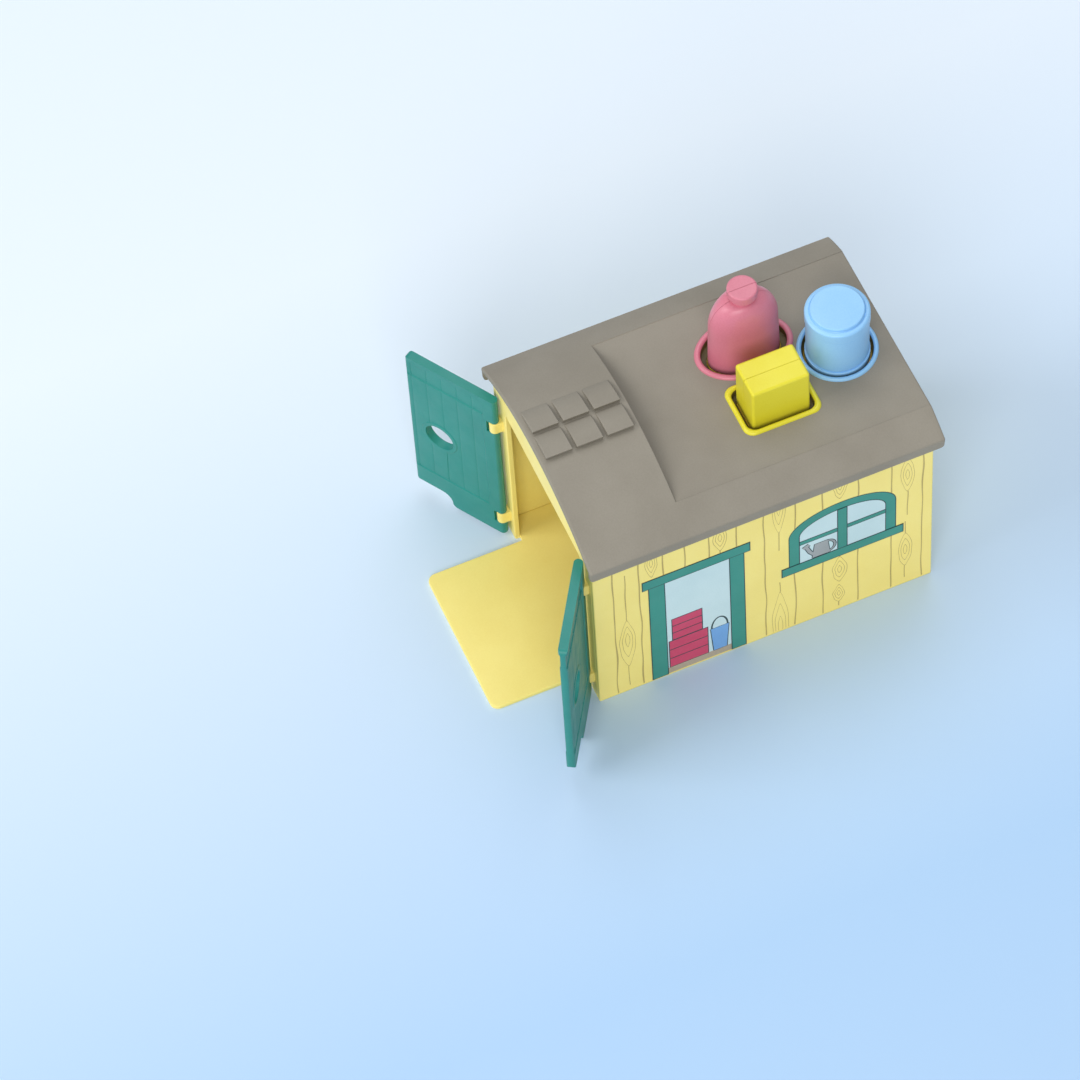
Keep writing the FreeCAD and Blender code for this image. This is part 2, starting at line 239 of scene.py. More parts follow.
# Side walls
# Two flat panels of satin yellow plastic, moulded with soft edges, that stand on the ground
# beside the floor plate and carry the roof on their level top edges.
wall_edge = 0.8 * mm


def boxed(bm, low, high):
    """Plain block between two corners."""
    made = bmesh.ops.create_cube(bm, size=1)["verts"]
    bmesh.ops.scale(bm, vec=high - low, verts=made)
    bmesh.ops.translate(bm, vec=(low + high) / 2, verts=made)
    return list({edge for vert in made for edge in vert.link_edges})


for node in ("side_wall_left", "side_wall_right"):
    wall_mesh = bmesh.new()
    soften(wall_mesh, boxed(wall_mesh, *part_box(node)), wall_edge)
    add_piece(node, wall_mesh, yellow_plastic, "barn", "body_yellow", node)

# Front wall and hinge eyes
# One yellow panel makes the jambs, the lintel and the gable that follows the roof's arch.
# Four eyes are moulded on its face as round-nosed lugs that take the door pins.
jamb_width = 16.5 * mm
doorway_top = 128 * mm
doorway_corner = 3 * mm
roof_rise = 21.3 * mm
gable_inset = 3.2 * mm
eye_radius = 3.2 * mm
eye_bore = 1.58 * mm
eye_half_height = 4.4 * mm
eye_heights = (18.2 * mm, 110 * mm)
eye_edge = 0.5 * mm
nose_steps = 20
arch_steps = 40
oval_steps = 96
front_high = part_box("front_wall")[1]
gable_half = floor_high.x
roof_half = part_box("roof_shell")[1].x
crown_top = front_high.z + gable_inset
roof_radius = (roof_half ** 2 + roof_rise ** 2) / (2 * roof_rise)
roof_centre = crown_top - roof_radius
doorway_half = wall_high.x - jamb_width
hinges = {joint["child"]: Vector(joint["pos_m"]) for joint in frame["joints"] if joint["type"] == "hinge"}


def arch_height(x, inset=0):
    """Height of the roof's arch over a place across the barn, or of a line inset from it."""
    return roof_centre + math.sqrt((roof_radius - inset) ** 2 - x ** 2)


def spread(low, high, steps):
    """Evenly spaced values from low to high."""
    return [low + (high - low) * step / steps for step in range(steps + 1)]


def gable_outline(half, limit):
    """Feet, sides and arched top of a gable wall, cut level at a limit."""
    top = [(x, min(arch_height(x, gable_inset), limit)) for x in spread(-half, half, arch_steps)]
    return [(-half, 0), (half, 0)] + top[::-1]


def bow(middle_x, middle_y, half_x, half_y, start, end, steps):
    """Points along an oval from one turn to another."""
    turns = spread(start, end, steps)
    return [(middle_x + half_x * math.cos(turn), middle_y + half_y * math.sin(turn)) for turn in turns]


def oval(half_x, half_y):
    """Points round an oval about the origin."""
    return bow(0, 0, half_x, half_y, 0, 2 * math.pi, oval_steps)[:-1]


def closed_loop(bm, outline, centre):
    """Edges round an outline about a centre."""
    points = [bm.verts.new((centre.x + x, centre.y + y, centre.z)) for x, y in outline]
    return [bm.edges.new(pair) for pair in zip(points, points[1:] + points[:1])]


def fill(bm, edges):
    """Flat faces between closed outlines."""
    filled = bmesh.ops.triangle_fill(bm, use_beauty=True, use_dissolve=False, edges=edges)["geom"]
    return [part for part in filled if isinstance(part, bmesh.types.BMFace)]


def hinge_eye(bm, hinge, height):
    """Eye with a bore, round at its free end and straight-sided back to the wall."""
    root = wall_low.y + wall_edge - hinge.y
    nose = bow(0, 0, eye_radius, eye_radius, math.pi, 2 * math.pi, nose_steps)
    place = Vector((hinge.x, hinge.y, height - eye_half_height))
    rim = closed_loop(bm, [(eye_radius, root), (-eye_radius, root)] + nose, place)
    bore = closed_loop(bm, oval(eye_bore, eye_bore), place)
    raise_faces(bm, fill(bm, rim + bore), 2 * eye_half_height, Matrix())
    edges = []
    for edge in bm.edges:
        middle = (edge.verts[0].co + edge.verts[1].co) / 2
        away = (middle.xy - hinge.xy).length
        at_face = abs(abs(middle.z - height) - eye_half_height) < hairline
        off_bore = eye_bore + eye_edge < away < 2 * eye_radius
        if at_face and off_bore and edge.calc_face_angle(0) > smooth_angle:
            edges.append(edge)
    soften(bm, edges, eye_edge)


front_mesh = bmesh.new()
front_outline = [
    (-gable_half, 0),
    (-doorway_half, 0),
    (-doorway_half, doorway_top),
    (doorway_half, doorway_top),
    (doorway_half, 0),
] + gable_outline(gable_half, crown_top)[1:]
doorway_rounds = ((2, doorway_corner), (3, doorway_corner))
front_face = plane((1, 0, 0), (0, 0, 1), (0, room_front, 0))
plate(front_mesh, front_outline, wall_thickness, front_face, doorway_rounds)
soften(front_mesh, edges_at(front_mesh, lambda co: co.y < wall_low.y + hairline), wall_edge)
for hinge in hinges.values():
    for height in eye_heights:
        hinge_eye(front_mesh, hinge, height)
add_piece("front_wall", front_mesh, yellow_plastic, "barn", "body_yellow", "front_wall")

# Rear wall
# A plain gable panel of the same yellow plastic, cut level under the flat part of the roof.
# It closes the room behind and stands between the ends of the side walls.
rear_low, rear_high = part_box("rear_wall")
rear_mesh = bmesh.new()
rear_face = plane((-1, 0, 0), (0, 0, 1), (0, rear_low.y, 0))
plate(rear_mesh, gable_outline(gable_half, rear_high.z), wall_thickness, rear_face)
soften(rear_mesh, edges_at(rear_mesh, lambda co: co.y > rear_high.y - hairline), wall_edge)
add_piece("rear_wall", rear_mesh, yellow_plastic, "barn", "body_yellow", "rear_wall")

# Printed walls
# Plank joints, knots, a doorway and an arched window are printed on the walls in thin flat inks.
# Each coloured shape is a film that lies on a slightly larger film of dark outline ink.
film = 0.03 * mm
outline_width = 0.55 * mm
line_width = 0.8 * mm
line_sway = 1.1 * mm
line_swell = 0.5
line_steps = 30
sway_length = 26 * mm
swell_slice = 7
plank_foot = 2 * mm
knot_line = 0.6 * mm
knot_rings = (1, 0.66, 0.3)
knot_pinch = 0.55
knot_wobble = 0.24
wobble_pitch = 1.7
wobble_slice = 1.3
knot_slip = 0.16
slip_slice = 3
grain_level = 1
tail_level = 1.25
knot_level = 1.5
window_level = 2
pane_level = 3
ground_level = 4
item_edge_level = 5
item_level = 6
line_level = 7
jamb_level = 7
glazing_level = 8
lintel_level = 9


def plank_line(bm, layout, across, low, high, width=line_width, level=grain_level):
    """Thin line that sways a little and swells, between two planks or along the grain of one."""
    strip = bmesh.ops.create_grid(bm, x_segments=1, y_segments=line_steps, size=0.5)["verts"]
    for vert in strip:
        height = low + (vert.co.y + 0.5) * (high - low)
        sway = line_sway * noise.noise(Vector((across / mm, height / sway_length, 0)))
        swell = 1 + line_swell * noise.noise(Vector((across / mm, height / sway_length, swell_slice)))
        vert.co = Vector((across + sway + vert.co.x * width * swell, height, 0))
    faces = list({face for vert in strip for face in vert.link_faces})
    raise_faces(bm, faces, film * level, layout)


def knot_ring(across, half_width, half_height, inset):
    """Points round one uneven ring that is pinched towards both tips."""
    points = []
    for x, y in oval(half_width - inset / 2, half_height - inset):
        slope = y / half_height
        side = math.copysign(wobble_slice, x)
        wobble = noise.noise(Vector((across / mm, wobble_pitch * slope, side)))
        points.append((x * (1 - knot_pinch * slope ** 2) * (1 + knot_wobble * wobble), y))
    return points


def knot(bm, layout, top, across, height, half_width, half_height, tail_up, tail_down):
    """Nested uneven rings, cut off at the wall's edges, with grain lines that run out of the tips."""
    for number, share in enumerate(knot_rings):
        old_faces = set(bm.faces)
        drift = noise.noise(Vector((across / mm, height / mm, slip_slice)))
        centre = Vector((across, height + number * knot_slip * half_height * drift, 0))
        loops = []
        for inset in (0, knot_line):
            ring = knot_ring(across, half_width * share, half_height * share, inset)
            loops += closed_loop(bm, ring, centre)
        bmesh.ops.bridge_loops(bm, edges=loops)
        for limit, outward in ((top, 1), (plank_foot, -1)):
            band = [face for face in bm.faces if face not in old_faces]
            parts = {part for face in band for part in (face, *face.edges, *face.verts)}
            bmesh.ops.bisect_plane(
                bm, geom=list(parts), dist=hairline / 10, plane_co=(0, limit, 0), plane_no=(0, outward, 0),
                clear_outer=True,
            )
        band = [face for face in bm.faces if face not in old_faces]
        raise_faces(bm, band, film * knot_level, layout)
    for low, high in (
        (height + half_height, height + half_height + tail_up),
        (height - half_height - tail_down, height - half_height),
    ):
        if high > low + hairline:
            plank_line(bm, layout, across, low, high, knot_line, tail_level)


def bar(left, right, low, high, grow=0):
    """Corners of an upright rectangle, grown all round."""
    return [
        (left - grow, low - grow),
        (right + grow, low - grow),
        (right + grow, high + grow),
        (left - grow, high + grow),
    ]


def arched(left, right, low, spring, apex, grow=0, steps=28):
    """Outline of an arched window light, grown all round."""
    half = (right - left) / 2 + grow
    arc = bow((left + right) / 2, spring, half, apex - spring + grow, 0, math.pi, steps)
    return [(left - grow, low - grow), (right + grow, low - grow)] + arc


def stroke(path, width):
    """Outline of a band of even width along a path."""
    left, right = [], []
    for number, point in enumerate(path):
        before = Vector(path[max(number - 1, 0)])
        after = Vector(path[min(number + 1, len(path) - 1)])
        aside = (after - before).orthogonal().normalized() * width / 2
        left.append(tuple(Vector(point) + aside))
        right.append(tuple(Vector(point) - aside))
    return left + right[::-1]


def in_mm(*points):
    """Points given in millimetres."""
    return [(x * mm, y * mm) for x, y in points]


def printing_ink(name, colour, deep):
    """Thin satin ink that lies on the plastic."""
    return moulded_plastic(name, colour, deep, 0.42, 0.5 * mm, 0.008 * mm)


grain_ink = printing_ink("grain_ink", (194, 172, 98), (178, 156, 84))
edge_ink = printing_ink("edge_ink", (40, 66, 68), (30, 54, 58))
frame_ink = printing_ink("frame_ink", (54, 148, 134), (46, 138, 124))
pane_ink = printing_ink("pane_ink", (206, 230, 235), (194, 221, 227))
ground_ink = printing_ink("ground_ink", (186, 172, 150), (170, 156, 134))
red_ink = printing_ink("red_ink", (208, 66, 104), (198, 54, 92))
blue_ink = printing_ink("blue_ink", (118, 172, 230), (104, 158, 218))
grey_ink = printing_ink("grey_ink", (166, 171, 173), (148, 153, 156))

right_layout = plane((0, 1, 0), (0, 0, 1), (wall_high.x, 0, 0))
left_layout = plane((0, -1, 0), (0, 0, 1), (-wall_high.x, 0, 0))
rear_layout = plane((-1, 0, 0), (0, 0, 1), (0, rear_high.y, 0))
side_top = wall_high.z - wall_edge
right_joints = (-93, -77, -62, -49, -34, -17, 0, 18.5, 36, 58, 79, 98.5)
left_joints = (-97, -80, -63, -44, -28, -10, 6, 25, 41, 60, 77, 95)
rear_joints = (-52, -35, -19, -2, 16, 34, 53)
# Knots: place across, height, half width, half height, grain above and grain below, in millimetres.
right_knots = (
    (-85.7, 50, 5.2, 24, 46, 20),
    (-69.3, 122, 4, 14, 0, 0),
    (-27, 121, 4.2, 13, 0, 6),
    (9, 128, 4.6, 25, 0, 18),
    (9, 6, 5.6, 36, 10, 0),
    (46.5, 42, 4.8, 13, 3, 0),
    (46, 17, 3.8, 9, 0, 4),
    (47, 126, 4.4, 12, 0, 0),
    (89, 112, 4.6, 17, 0, 24),
    (88, 36, 4.8, 17, 12, 12),
)
left_knots = (
    (-88, 92, 4.6, 18, 14, 22),
    (-71, 38, 5, 19, 12, 10),
    (-36, 130, 4.8, 24, 0, 16),
    (-19, 54, 5, 21, 26, 14),
    (15, 98, 4.4, 15, 8, 20),
    (33, 6, 5.4, 34, 12, 0),
    (51, 112, 4, 12, 10, 14),
    (68, 64, 5, 20, 16, 24),
    (86, 28, 4.2, 13, 20, 6),
)
rear_knots = (
    (-43, 96, 4.6, 18, 18, 16),
    (-27, 42, 4.8, 17, 10, 14),
    (7, 146, 4.8, 26, 0, 16),
    (25, 60, 5, 20, 20, 16),
    (44, 6, 5.2, 30, 10, 0),
)
for name, layout, joints, knots, top in (
    ("right", right_layout, right_joints, right_knots, side_top),
    ("left", left_layout, left_joints, left_knots, side_top),
    ("rear", rear_layout, rear_joints, rear_knots, rear_high.z - wall_edge),
):
    grain_mesh = bmesh.new()
    for joint in joints:
        plank_line(grain_mesh, layout, joint * mm, plank_foot, top)
    for sizes in knots:
        knot(grain_mesh, layout, top, *(size * mm for size in sizes))
    add_piece("plank_print_" + name, grain_mesh, grain_ink, "barn", "body_yellow")

jamb_bars = ((-71.3, -62.1, 2, 98), (-21.5, -13.1, 2, 98))
lintel_bar = (-75, -9.3, 97.5, 105.2)
pane_bar = (-62.1, -21.5, 2, 97.5)
ground_bar = (-62.1, -21.5, 2, 8)
sill_bar = (10.7, 86.1, 56.5, 63.5)
window_light = (15.4, 81.5, 60, 92, 110)
glass_light = (21.8, 75.1, 63.5, 90.5, 103.6)
mullion_bar = (45.6, 50.9, 63.5, 103.4)
transom_bar = (21.8, 75.1, 82.5, 85.3)
crate_bars = ((-60.6, -36.4, 8, 35), (-58.4, -39.6, 35.6, 57))
slat_shares = (1 / 3, 2 / 3)
slat_width = 0.7 * mm
bucket = in_mm((-33, 8), (-25, 8), (-23.4, 31), (-34.6, 31))
bucket_handle = in_mm(*bow(-29, 31, 5, 10, 0, math.pi, 14))
pot = in_mm((29.5, 64.6), (40.5, 64.6), (39, 77.5), (31, 77.5))
pot_spout = in_mm((31, 67), (28, 71.5), (25.6, 78))
pot_rose = in_mm((23.8, 77.2), (27.6, 79.4))
pot_handle = in_mm(*bow(39.2, 71, 4.4, 5.4, -math.pi / 2, math.pi / 2, 12))
handle_width = 1.1 * mm
spout_width = 2 * mm
rose_width = 2.4 * mm
film_step = 0.2
pot_strokes = ((pot_handle, handle_width), (pot_spout, spout_width), (pot_rose, rose_width))
print_inks = (edge_ink, frame_ink, pane_ink, ground_ink, red_ink, blue_ink, grey_ink)
sheets = {ink.name: (bmesh.new(), ink) for ink in print_inks}


def stamp(ink, outline, level):
    """Lay one film of an ink on the printed side wall."""
    plate(sheets[ink.name][0], outline, film * level, right_layout)


def sized(values, shape, grow=0):
    """Bar or arched light from sizes in millimetres."""
    return shape(*(value * mm for value in values), grow=grow)


def stamp_edged(ink, values, shape, level):
    """Lay a shape on a film of outline ink that shows all round it."""
    stamp(edge_ink, sized(values, shape, outline_width), level)
    stamp(ink, sized(values, shape), level + 1)


stamp(pane_ink, sized(pane_bar, bar), pane_level)
stamp(ground_ink, sized(ground_bar, bar), ground_level)
for crate in crate_bars:
    stamp(edge_ink, sized(crate, bar, outline_width / 2), item_edge_level)
    stamp(red_ink, sized(crate, bar, -outline_width / 2), item_level)
    left, right, low, high = (value * mm for value in crate)
    for share in slat_shares:
        slat = low + (high - low) * share
        stamp(edge_ink, bar(left, right, slat - slat_width / 2, slat + slat_width / 2), line_level)
stamp(edge_ink, stroke(bucket_handle, handle_width), ground_level)
stamp(edge_ink, stroke(bucket + bucket[:1], 2 * outline_width), item_edge_level)
stamp(blue_ink, bucket, item_level)
for jamb in jamb_bars:
    stamp_edged(frame_ink, jamb, bar, jamb_level)
stamp_edged(frame_ink, lintel_bar, bar, lintel_level)

stamp_edged(frame_ink, window_light, arched, window_level)
stamp_edged(pane_ink, glass_light, arched, ground_level)
for number, (path, width) in enumerate(pot_strokes):
    stamp(edge_ink, stroke(path, width + 2 * outline_width), item_level + number * film_step)
    stamp(grey_ink, stroke(path, width), line_level + number * film_step)
stamp(edge_ink, stroke(pot + pot[:1], 2 * outline_width), line_level - film_step)
stamp(grey_ink, pot, line_level + len(pot_strokes) * film_step)
for number, glazing in enumerate((transom_bar, mullion_bar, sill_bar)):
    stamp_edged(frame_ink, glazing, bar, glazing_level + 2 * number)
for name, (sheet, ink) in sheets.items():
    add_piece("print_" + name, sheet, ink, "barn", "body_yellow")

# Roof shell
# A thin arched shell in grained taupe plastic. Its rear part drops by a step to a flat panel that
# holds the three openings, and a lip along both eaves covers the tops of the side walls.
arch_length = 60.5 * mm
roof_shell = 3 * mm
roof_edge = 1.1 * mm
panel_margin = 3 * mm
strip_steps = 8
rim_gap = 0.2 * mm
neck_wall = 1.5 * mm
can_band = 3.7 * mm
barrel_band = 2.9 * mm
bale_band = 3.1 * mm
bale_corner = 3.2 * mm
corner_steps = 8
seat_half = 1.5 * mm
crease_inset = 1.3 * mm
crease_width = 0.3 * mm
eave_edge = 1.1 * mm
step_edge = 0.4 * mm
skin_slope = 0.3
lip_draw = 1 * mm
lip_drop = 1.5 * mm
lip_corner = 2.4 * mm
roof_low, roof_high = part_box("roof_shell")
panel_top = rear_high.z + gable_inset
eave_top = crown_top - roof_rise
step_y = roof_low.y + arch_length
panel_half = math.sqrt(roof_radius ** 2 - (panel_top - roof_centre) ** 2) - crease_inset


def oblong(half_x, half_y, corner):
    """Points round a rectangle with round corners about the origin."""
    points = []
    for quarter, (side_x, side_y) in enumerate(((1, 1), (-1, 1), (-1, -1), (1, -1))):
        start = quarter * math.pi / 2
        middle_x = side_x * (half_x - corner)
        middle_y = side_y * (half_y - corner)
        points += bow(middle_x, middle_y, corner, corner, start, start + math.pi / 2, corner_steps)
    return points


def middle_and_half(*nodes):
    """Middle and half size of the box round some nodes."""
    boxes = [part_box(node) for node in nodes]
    low = Vector(min(box[0][axis] for box in boxes) for axis in range(3))
    high = Vector(max(box[1][axis] for box in boxes) for axis in range(3))
    return (low + high) / 2, (high - low) / 2


def rim_outline(name, grow, corner):
    """Points round a rim's outer edge, grown all round: oblong for the bale, oval for the others."""
    half = middle_and_half(name + "_rim")[1]
    if name == "bale":
        return oblong(half.x + grow, half.y + grow, corner)
    return oval(half.x + grow, half.y + grow)


openings = []
for name, band in (("can", can_band), ("barrel", barrel_band), ("bale", bale_band)):
    outline = rim_outline(name, neck_wall + rim_gap - band, bale_corner + neck_wall)
    openings.append((middle_and_half(name + "_rim")[0], outline))

roof_mesh = bmesh.new()
across = (
    spread(-roof_half, -panel_half - crease_width, strip_steps)
    + spread(-panel_half, panel_half, arch_steps)
    + spread(panel_half + crease_width, roof_half, strip_steps)
)
lip_foot = roof_half - lip_draw
lip_low = roof_low.z - lip_drop
section = [(-lip_foot, lip_low)] + [(x, arch_height(x)) for x in across] + [(lip_foot, lip_low)]
row = [roof_mesh.verts.new((x, roof_low.y, z)) for x, z in section]
row_edges = [roof_mesh.edges.new(pair) for pair in zip(row, row[1:])]
panel_rows = (step_y, step_y + panel_margin, roof_high.y - panel_margin, roof_high.y)
for number, y in enumerate((step_y,) + panel_rows):
    row = verts_of(bmesh.ops.extrude_edge_only(roof_mesh, edges=row_edges)["geom"])
    row_edges = [edge for edge in roof_mesh.edges if all(vert in row for vert in edge.verts)]
    for vert in row:
        vert.co.y = y
        if number > 0 and abs(vert.co.x) < panel_half + hairline:
            vert.co.z = panel_top
bmesh.ops.remove_doubles(roof_mesh, verts=roof_mesh.verts, dist=hairline)


def in_field(co):
    """True on the part of the panel that holds the openings."""
    within = panel_rows[1] - hairline < co.y < panel_rows[2] + hairline
    return within and abs(co.x) < panel_half + hairline


field_faces = [face for face in roof_mesh.faces if in_field(face.calc_center_median())]
bmesh.ops.delete(roof_mesh, geom=field_faces, context="FACES")
field_edges = [edge for edge in edges_at(roof_mesh, in_field) if edge.is_boundary]
for middle, outline in openings:
    field_edges += closed_loop(roof_mesh, outline, Vector((middle.x, middle.y, panel_top)))
fill(roof_mesh, field_edges)
bmesh.ops.recalc_face_normals(roof_mesh, faces=roof_mesh.faces)
if max(roof_mesh.faces, key=lambda face: face.calc_area()).normal.z < 0:
    bmesh.ops.reverse_faces(roof_mesh, faces=roof_mesh.faces)
bmesh.ops.solidify(roof_mesh, geom=roof_mesh.faces[:], thickness=roof_shell)


def on_eave(co):
    """True along the eaves' corners, where the arch turns down into the lips."""
    return abs(co.x) > roof_half - hairline and abs(co.z - eave_top) < hairline


def on_lip_corner(co):
    """True at the lower corners of the eave lips, at both ends of the roof."""
    at_end = co.y < roof_low.y + hairline or co.y > roof_high.y - hairline
    return at_end and abs(co.x) > wall_high.x and co.z < lip_low + lip_draw


def on_step(co):
    """True along the step's upper edge."""
    return abs(co.y - step_y) < hairline and co.z > panel_top + hairline


def outward(face):
    """True on the roof's outer skin: its top and the outsides of its lips."""
    side = math.copysign(1, face.calc_center_median().x)
    return max(face.normal.z, side * face.normal.x) > skin_slope


def on_border(edge):
    """True on the edges where the outer skin ends: both ends of the roof and the feet of its lips."""
    places = [vert.co for vert in edge.verts]
    away = all(abs(co.x) > panel_half for co in places)
    at_end = all(not roof_low.y + roof_shell < co.y < roof_high.y - roof_shell for co in places)
    return edge.is_convex and (away or at_end) and sum(outward(face) for face in edge.link_faces) == 1


soften(roof_mesh, edges_at(roof_mesh, on_step), step_edge)
soften(roof_mesh, edges_at(roof_mesh, on_lip_corner), lip_corner, round_steps)
soften(roof_mesh, edges_at(roof_mesh, on_eave), eave_edge, round_steps)
roof_mesh.normal_update()
soften(roof_mesh, [edge for edge in roof_mesh.edges if on_border(edge)], roof_edge, clamp=False)
for side in (-1, 1):
    seat_x = side * (wall_low.x + wall_high.x) / 2
    rib_low = Vector((seat_x - seat_half, wall_low.y, wall_high.z))
    rib_high = Vector((seat_x + seat_half, wall_high.y, arch_height(seat_x, roof_shell / 2)))
    boxed(roof_mesh, rib_low, rib_high)
taupe_plastic = moulded_plastic(
    "roof_taupe", (149, 143, 131), (140, 134, 122), 0.6, 0.8 * mm, 0.05 * mm, sheen=0.2
)
add_piece("roof_shell", roof_mesh, taupe_plastic, "barn", "roof_taupe", "roof_shell")

# Roof shingles
# Six tiles moulded on the arched front part, in two rows of three. Each starts level with the
# roof at its head and stands proud of it at its butt, which faces the printed side.
shingle_rows = 2
shingle_columns = 3
shingle_top = -27.6 * mm
shingle_pitch = 19.3 * mm
shingle_end_gap = 3.5 * mm
shingle_step_gap = 0.9 * mm
shingle_gap = 2.7 * mm
shingle_butt = 3.6 * mm
shingle_bend = 0.3
shingle_bend_rise = 2.4 * mm
shingle_bend_edge = 4.5 * mm
shingle_head = 0.06 * mm
shingle_root = 1 * mm
shingle_undercut = 2 * mm
shingle_edge = 0.5 * mm
shingle_width = (arch_length - shingle_end_gap - shingle_step_gap) / shingle_columns
tile_mesh = bmesh.new()
for row_number in range(shingle_rows):
    head_x = shingle_top + row_number * shingle_pitch
    butt_x = head_x + shingle_pitch
    bend_x = head_x + shingle_bend * shingle_pitch
    head_z, bend_z, butt_z = arch_height(head_x), arch_height(bend_x), arch_height(butt_x)
    tile_outline = [
        (head_x, head_z - shingle_root),
        (butt_x - shingle_undercut, butt_z - shingle_root),
        (butt_x, butt_z + shingle_butt),
        (bend_x, bend_z + shingle_bend_rise),
        (head_x, head_z + shingle_head),
    ]
    for column in range(shingle_columns):
        back_y = roof_low.y + shingle_end_gap + (column + 1) * shingle_width - shingle_gap
        tile_side = plane((1, 0, 0), (0, 0, 1), (0, back_y, 0))
        plate(tile_mesh, tile_outline, shingle_width - shingle_gap, tile_side)
tile_bends = edges_at(tile_mesh, lambda co: abs(co.z - arch_height(co.x) - shingle_bend_rise) < hairline)
soften(tile_mesh, tile_bends, shingle_bend_edge, round_steps)
tile_tops = edges_at(tile_mesh, lambda co: co.z > arch_height(co.x) + shingle_head / 2)
soften(tile_mesh, [edge for edge in tile_tops if edge.calc_face_angle(0) > smooth_angle], shingle_edge)
add_piece("roof_shingles", tile_mesh, taupe_plastic, "barn", "roof_taupe")

# Can rim, barrel rim and bale rim
# Each opening is edged by a glossy coloured bead that lies on the panel. A neck hangs from the bead
# through the panel and closes in to a throat that guides its loose piece; its dark olive-brown is painted
# shade, standing for yellow plastic in shade down the opening.
bead_steps = 8
throat_gap = 0.6 * mm
throat_height = 1.6 * mm
ledge_rise = 0.6 * mm
bead_height = 1.6 * mm
can_entry = 4 * mm
barrel_entry = 1.8 * mm
bale_entry = 3 * mm


def grown(half, steps):
    """Level sizes from a half size: each step is (growth of the half size, height)."""
    return [(half.x + grow, half.y + grow, height) for grow, height in steps]


def ring_stack(bm, outline, middle, sizes):
    """Skin drawn up from an outline through level sizes: (half width, half length, height)."""
    ring = closed_loop(bm, outline, Vector((middle.x, middle.y, sizes[0][2])))
    rings = [ring]
    about = Matrix.Translation((-middle.x, -middle.y, 0))
    for last, size in zip(sizes, sizes[1:]):
        drawn = bmesh.ops.extrude_edge_only(bm, edges=ring)["geom"]
        points = verts_of(drawn)
        kept = set(points)
        ring = [part for part in drawn if isinstance(part, bmesh.types.BMEdge) and set(part.verts) <= kept]
        bmesh.ops.scale(bm, vec=(size[0] / last[0], size[1] / last[1], 1), space=about, verts=points)
        bmesh.ops.translate(bm, vec=(0, 0, size[2] - last[2]), verts=points)
        rings.append(ring)
    return rings


pink_plastic = moulded_plastic("can_pink", (217, 131, 149), (207, 118, 137))
blue_plastic = moulded_plastic("barrel_blue", (155, 208, 249), (143, 198, 243))
straw_plastic = moulded_plastic("bale_yellow", (232, 222, 60), (226, 214, 46))
# Painted shade: the necks' dark olive-brown stands for the yellow body in shade inside the openings.
neck_shade_plastic = moulded_plastic("neck_painted_shade", (108, 95, 52), (98, 86, 45), 0.5, 0.6 * mm)
rims = (
    ("can", can_band, can_entry, pink_plastic, "can_pink"),
    ("barrel", barrel_band, barrel_entry, blue_plastic, "barrel_blue"),
    ("bale", bale_band, bale_entry, straw_plastic, "bale_yellow"),
)
for name, band, entry, plastic, slot in rims:
    middle, half = middle_and_half(name + "_rim")
    outline = rim_outline(name, 0, bale_corner + bale_band)
    bead = bow(-band / 2, panel_top, band / 2, bead_height, 0, math.pi, bead_steps)
    bead_mesh = bmesh.new()
    rings = ring_stack(bead_mesh, outline, middle, grown(half, bead))
    bmesh.ops.bridge_loops(bead_mesh, edges=rings[0] + rings[-1])
    add_piece(name + "_rim_bead", bead_mesh, plastic, "barn", slot, name + "_rim")

    rim_low = middle.z - half.z
    mouth = -band
    throat = mouth - entry + throat_gap
    neck = grown(half, [
        (mouth + neck_wall, panel_top),
        (mouth + neck_wall, rim_low),
        (throat, rim_low),
        (throat, rim_low + throat_height),
        (mouth, rim_low + throat_height + ledge_rise),
        (mouth, panel_top),
    ])
    start = [(x * neck[0][0] / half.x, y * neck[0][1] / half.y) for x, y in outline]
    neck_mesh = bmesh.new()
    rings = ring_stack(neck_mesh, start, middle, neck)
    bmesh.ops.bridge_loops(neck_mesh, edges=rings[0] + rings[-1])
    add_piece(name + "_rim_neck", neck_mesh, neck_shade_plastic, "barn", "body_yellow")

# Hinge pins
# Two straight pins of drawn steel wire with chamfered ends. Each is held in the bore along its
# door's hinge edge and turns in the two eyes on the front wall.
pin_chamfer = 0.3 * mm
pin_sides = 32
steel = moulded_plastic(
    "pin_steel", (186, 187, 190), (168, 169, 172), 0.3, 0.4 * mm, 0.01 * mm, metal=1
)
for node in ("hinge_pin_left", "hinge_pin_right"):
    middle, half = middle_and_half(node)
    pin_mesh = bmesh.new()
    bmesh.ops.create_cone(
        pin_mesh, cap_ends=True, segments=pin_sides, radius1=half.x, radius2=half.x, depth=2 * half.z,
        matrix=Matrix.Translation(middle),
    )
    ends = edges_at(pin_mesh, lambda co: abs(co.z - middle.z) > half.z - hairline)
    soften(pin_mesh, [edge for edge in ends if edge.calc_length() < half.x], pin_chamfer, segments=2)
    add_piece(node, pin_mesh, steel, node.replace("hinge_pin", "door"), "pin_steel", node)

# Doors
# Two glossy green plank doors, each one moulding that is alike on both faces: a ledge along the
# foot, planks with grooves between them, a round finger hole and a notch under the free corner.
door_thickness = 5.5 * mm
door_reach = 60 * mm
door_open_angle = math.radians(148)
door_edge = 0.8 * mm
free_round = 2.4 * mm
eye_room = 3.8 * mm
eye_room_half = 5 * mm
notch_start = 34 * mm
notch_height = 10 * mm
notch_corner = 8 * mm
free_corner = 3 * mm
hole_radius = 9.7 * mm
hole_edge = 0.4 * mm
hole_collar = 2.2 * mm
hole_reach = 39.5 * mm
hole_height = 66 * mm
ledge_height = 24 * mm
head_band = 17 * mm
head_depth = 1.15 * mm
field_depth = 0.5 * mm
field_ramp = 0.8 * mm
stile_width = 6 * mm
groove_count = 5
groove_start = 14.1 * mm
groove_pitch = 10.6 * mm
groove_half = 0.9 * mm
groove_depth = 0.35 * mm
